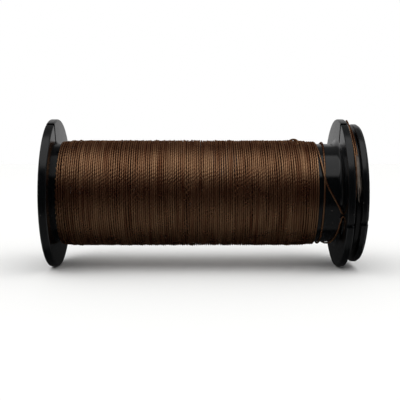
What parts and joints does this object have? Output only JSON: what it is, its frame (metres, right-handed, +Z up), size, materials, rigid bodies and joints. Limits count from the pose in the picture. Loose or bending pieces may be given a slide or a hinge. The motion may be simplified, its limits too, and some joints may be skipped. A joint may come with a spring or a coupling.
{
  "type": "waxed thread spool",
  "caption": "Flanged plastic spool wound with twisted waxed thread, its end held in the groove behind a snap-in thread lock disc at one end.",
  "frame": {"origin": "on the spool's axis, halfway along its overall length", "axes": "+X along the axis towards the thread lock disc; +Z up, with the spool lying on its two flanges; -Y is the side where the thread passes the lock end's flange"},
  "size_m": [0.0684, 0.033, 0.033],
  "materials": {
    "black_plastic": "glossy moulded black plastic",
    "waxed_thread": "dark brown twisted thread with a light wax sheen"
  },
  "bodies": {
    "spool": {"barrel_tube": "black_plastic", "left_flange": "black_plastic", "right_flange": "black_plastic", "thread_inner_layer": "waxed_thread", "thread_outer_layer": "waxed_thread", "thread_loose_turn": "waxed_thread", "thread_crossing_strand": "waxed_thread", "thread_start_strand": "waxed_thread", "thread_lead_strand": "waxed_thread", "thread_groove_tail": "waxed_thread"},
    "thread_lock": {"lock_disc": "black_plastic"}
  },
  "joints": [
    {"name": "thread_lock_slide", "type": "slide", "parent": "spool", "child": "thread_lock", "axis": [1, 0, 0], "range_m": [0, 0.002]}
  ]
}
